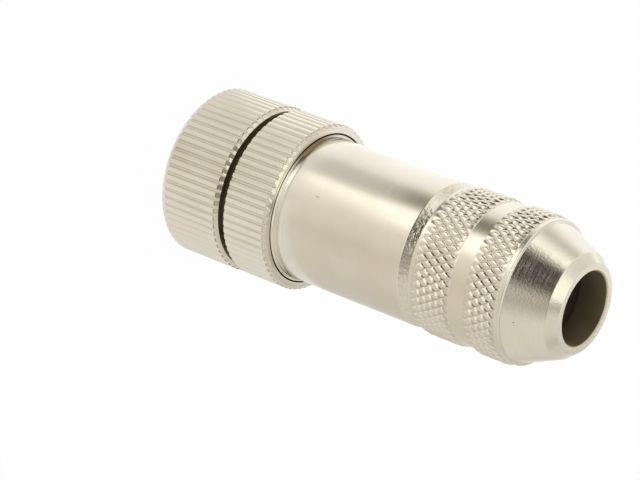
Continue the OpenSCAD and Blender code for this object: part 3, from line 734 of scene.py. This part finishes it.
# Cards round the object that only its reflections see, in mm. Those with an inner and an outer radius lie
# flat just over the floor, the others stand in a ring. Each tone is an angle round Z from the near side,
# and a colour.
cardSides = 96
cardStrength = 1.3
reflectors = {
    "nearCard": {"inner": 10.05, "outer": 33, "height": 0.201, "tones": [
        (-178, 1.10, 1.10, 1.09), (-146, 1.15, 1.14, 1.12), (-98, 1.15, 1.12, 1.05), (-82, 1.00, 0.98, 0.92),
        (-66, 0.80, 0.77, 0.70), (-18, 0.80, 0.76, 0.68), (-2, 0.72, 0.68, 0.60), (14, 0.84, 0.80, 0.72),
        (62, 0.84, 0.82, 0.76), (94, 0.78, 0.77, 0.72), (126, 0.76, 0.76, 0.71), (160, 0.85, 0.85, 0.83),
        (178, 1.05, 1.05, 1.04)]},
    "floorCard": {"inner": 33, "outer": 500, "height": 0.66, "tones": [
        (-178, 1.10, 1.10, 1.10), (-130, 1.12, 1.11, 1.09), (-114, 1.10, 1.07, 1.03), (-98, 1.04, 1.00, 0.95),
        (-84, 0.92, 0.88, 0.83), (-72, 0.69, 0.66, 0.60), (-64, 0.64, 0.61, 0.55), (-54, 0.64, 0.60, 0.53),
        (-46, 0.78, 0.74, 0.66), (-40, 1.14, 1.07, 0.95), (-34, 1.28, 1.20, 1.06), (-27, 1.16, 1.08, 0.96),
        (-18, 0.98, 0.91, 0.80), (-4, 0.83, 0.77, 0.66), (14, 0.77, 0.71, 0.60), (30, 0.67, 0.62, 0.53),
        (62, 0.73, 0.67, 0.58), (94, 0.67, 0.62, 0.54), (126, 0.635, 0.60, 0.55), (150, 0.66, 0.64, 0.60),
        (178, 1.05, 1.05, 1.04)]},
    "outerCard": {"inner": 54, "outer": 500, "height": 1.08, "tones": [
        (-178, 1.02, 1.03, 1.02), (-146, 1.04, 1.04, 1.02), (-130, 1.12, 1.11, 1.08),
        (-114, 1.10, 1.07, 1.02), (-98, 1.04, 1.00, 0.93), (-86, 0.90, 0.87, 0.79), (-76, 0.50, 0.47, 0.40),
        (-68, 0.28, 0.26, 0.21), (-58, 0.28, 0.26, 0.21), (-50, 0.55, 0.51, 0.44), (-43, 1.20, 1.15, 1.03),
        (-34, 1.40, 1.35, 1.22), (-20, 1.35, 1.30, 1.16), (-12, 1.00, 0.93, 0.81), (-2, 0.84, 0.78, 0.68),
        (14, 0.77, 0.72, 0.61), (30, 0.70, 0.64, 0.55), (62, 0.74, 0.68, 0.59), (94, 0.67, 0.63, 0.54),
        (126, 0.64, 0.60, 0.54), (150, 0.66, 0.63, 0.57), (178, 0.95, 0.95, 0.90)]},
    "footCard": {"distance": 250, "bottom": 0.5, "top": 86, "tones": [
        (-178, 0.82, 0.80, 0.74), (-156, 0.84, 0.82, 0.76), (-143, 1.12, 1.10, 1.04),
        (-128, 1.12, 1.10, 1.03), (-112, 0.92, 0.89, 0.82), (-100, 0.64, 0.62, 0.55), (-92, 0.64, 0.62, 0.55),
        (-82, 0.88, 0.85, 0.76), (-72, 1.18, 1.14, 1.00), (-66, 1.00, 0.96, 0.84), (-60, 0.10, 0.09, 0.075),
        (-56, 0.03, 0.027, 0.022), (-38, 0.03, 0.027, 0.022), (-31, 1.25, 1.21, 1.12), (4, 1.25, 1.21, 1.12),
        (18, 0.95, 0.90, 0.80), (32, 0.76, 0.71, 0.62), (58, 0.80, 0.75, 0.66), (90, 0.76, 0.72, 0.64),
        (150, 0.70, 0.67, 0.61), (178, 0.85, 0.84, 0.82)]},
    "lowCard": {"distance": 250, "bottom": 86, "top": 145, "tones": [
        (-178, 0.82, 0.80, 0.74), (-118, 0.84, 0.82, 0.75), (-104, 1.04, 0.99, 0.87), (-84, 1.00, 0.96, 0.85),
        (-72, 1.16, 1.13, 1.01), (-64, 1.18, 1.15, 1.02), (-59, 0.80, 0.77, 0.70), (-52, 0.28, 0.26, 0.23),
        (-44, 0.05, 0.046, 0.038), (-14, 0.03, 0.028, 0.024), (-6, 0.10, 0.092, 0.078), (4, 0.40, 0.37, 0.32),
        (12, 0.58, 0.53, 0.47), (28, 0.50, 0.47, 0.41), (40, 0.62, 0.58, 0.52), (58, 0.78, 0.73, 0.65),
        (90, 0.72, 0.68, 0.61), (150, 0.68, 0.65, 0.60), (178, 0.85, 0.84, 0.82)]},
    "middleCard": {"distance": 250, "bottom": 145, "top": 234, "tones": [
        (-178, 0.95, 0.95, 0.93), (-146, 0.95, 0.95, 0.93), (-130, 0.88, 0.86, 0.80),
        (-114, 0.78, 0.76, 0.69), (-82, 0.80, 0.78, 0.71), (-66, 1.06, 1.01, 0.86), (-52, 0.96, 0.90, 0.77),
        (-42, 0.48, 0.43, 0.35), (-34, 0.26, 0.23, 0.18), (-18, 0.20, 0.175, 0.135), (-2, 0.15, 0.13, 0.095),
        (14, 0.22, 0.185, 0.135), (30, 0.30, 0.26, 0.20), (46, 0.50, 0.45, 0.36), (62, 0.73, 0.66, 0.56),
        (78, 0.75, 0.69, 0.60), (94, 0.69, 0.64, 0.57), (110, 0.58, 0.53, 0.45), (142, 0.54, 0.50, 0.42),
        (178, 0.60, 0.57, 0.50)]},
    "highCard": {"distance": 250, "bottom": 234, "top": 640, "tones": [
        (-178, 0.80, 0.785, 0.725), (-82, 0.80, 0.785, 0.725), (-66, 0.85, 0.83, 0.76),
        (-54, 1.14, 1.09, 0.97), (-34, 1.20, 1.18, 1.03), (-2, 1.20, 1.18, 1.03), (8, 0.95, 0.90, 0.80),
        (16, 0.66, 0.61, 0.54), (28, 0.50, 0.465, 0.41), (38, 0.62, 0.58, 0.52), (48, 0.75, 0.71, 0.65),
        (178, 0.74, 0.71, 0.66)]},
}


# Emission whose colour runs round Z through the given tones
def makeReflectorFinish(name, tones):
    finish, tree, shader = newFinish(name)
    parts = tree.nodes.new("ShaderNodeSeparateXYZ")
    tree.links.new(objectPlace(tree), parts.inputs[0])
    angle = mathNode(tree, "ARCTAN2", parts.outputs[0], mathNode(tree, "MULTIPLY", parts.outputs[1], -1))
    share = mathNode(tree, "ADD", mathNode(tree, "DIVIDE", angle, turn), 0.5)
    ramp = tree.nodes.new("ShaderNodeValToRGB")
    stops = ramp.color_ramp.elements
    while len(stops) < len(tones):
        stops.new(0.5)
    for stop, (degrees, *tone) in zip(stops, tones):
        stop.position = degrees / 360 + 0.5
        stop.color = (*(level / cardStrength for level in tone), 1)
    tree.links.new(share, ramp.inputs[0])
    glow = tree.nodes.new("ShaderNodeEmission")
    glow.inputs["Strength"].default_value = cardStrength
    tree.links.new(ramp.outputs[0], glow.inputs[0])
    tree.links.new(glow.outputs[0], tree.nodes["Material Output"].inputs["Surface"])
    tree.nodes.remove(shader)
    return finish


def makeReflector(name, look):
    if "inner" in look:
        ends = [(look["inner"], look["height"]), (look["outer"], look["height"])]
    else:
        ends = [(look["distance"], look["bottom"]), (look["distance"], look["top"])]
    verts, faces = [], []
    for i in range(cardSides):
        way = Vector((math.cos(turn * i / cardSides), math.sin(turn * i / cardSides), 0))
        verts += [tuple((way * far + Vector((0, 0, high))) * mm) for far, high in ends]
        k = (i + 1) % cardSides
        faces.append((2 * i, 2 * i + 1, 2 * k + 1, 2 * k))
    mesh = bpy.data.meshes.new(name)
    mesh.from_pydata(verts, [], faces)
    mesh.materials.append(makeReflectorFinish(name, look["tones"]))
    card = bpy.data.objects.new(name, mesh)
    bpy.context.scene.collection.objects.link(card)
    for ray in ("camera", "diffuse", "shadow", "transmission", "volume_scatter"):
        setattr(card, "visible_" + ray, False)


# Light Path's camera, glossy and transmission rays in one mask
def seenRays(tree):
    path = tree.nodes.new("ShaderNodeLightPath").outputs
    cameraOrGlossy = mathNode(tree, "MAXIMUM", path["Is Camera Ray"], path["Is Glossy Ray"])
    return mathNode(tree, "MAXIMUM", cameraOrGlossy, path["Is Transmission Ray"])


# Mixes two shaders into an output node's socket
def mixShaders(tree, share, first, second, target):
    mix = tree.nodes.new("ShaderNodeMixShader")
    for socket, given in zip(mix.inputs, (share, first, second)):
        tree.links.new(given, socket)
    tree.links.new(mix.outputs[0], target)


def makeFloor(look):
    half = look["floorSize"] / 2
    mesh = bpy.data.meshes.new("floor")
    corners = [(-half, -half, 0), (half, -half, 0), (half, half, 0), (-half, half, 0)]
    mesh.from_pydata(corners, [], [(0, 1, 2, 3)])
    floor = bpy.data.objects.new("floor", mesh)
    bpy.context.scene.collection.objects.link(floor)
    finish, tree, shader = newFinish("floorWhite")
    feed(tree, shader.inputs["Base Color"], look["floorColour"])
    shader.inputs["Roughness"].default_value = look["floorRoughness"]
    glow = tree.nodes.new("ShaderNodeEmission")
    share = mathNode(tree, "MULTIPLY", seenRays(tree), look["floorGlow"])
    surface = tree.nodes["Material Output"].inputs["Surface"]
    mixShaders(tree, share, shader.outputs[0], glow.outputs[0], surface)
    mesh.materials.append(finish)


def makeWorld(look):
    world = bpy.data.worlds.new("world")
    bpy.context.scene.world = world
    world.use_nodes = True
    tree = world.node_tree
    soft, white = tree.nodes["Background"], tree.nodes.new("ShaderNodeBackground")
    feed(tree, soft.inputs[0], look["worldColour"])
    feed(tree, soft.inputs[1], look["worldStrength"])
    feed(tree, white.inputs[0], look["backdropColour"])
    mixShaders(tree, seenRays(tree), soft.outputs[0], white.outputs[0], tree.nodes["World Output"].inputs[0])


makeFloor(studio)
makeWorld(studio)
for name, look in reflectors.items():
    makeReflector(name, look)
bpy.context.scene.view_settings.view_transform = "Standard"
print("studio made")
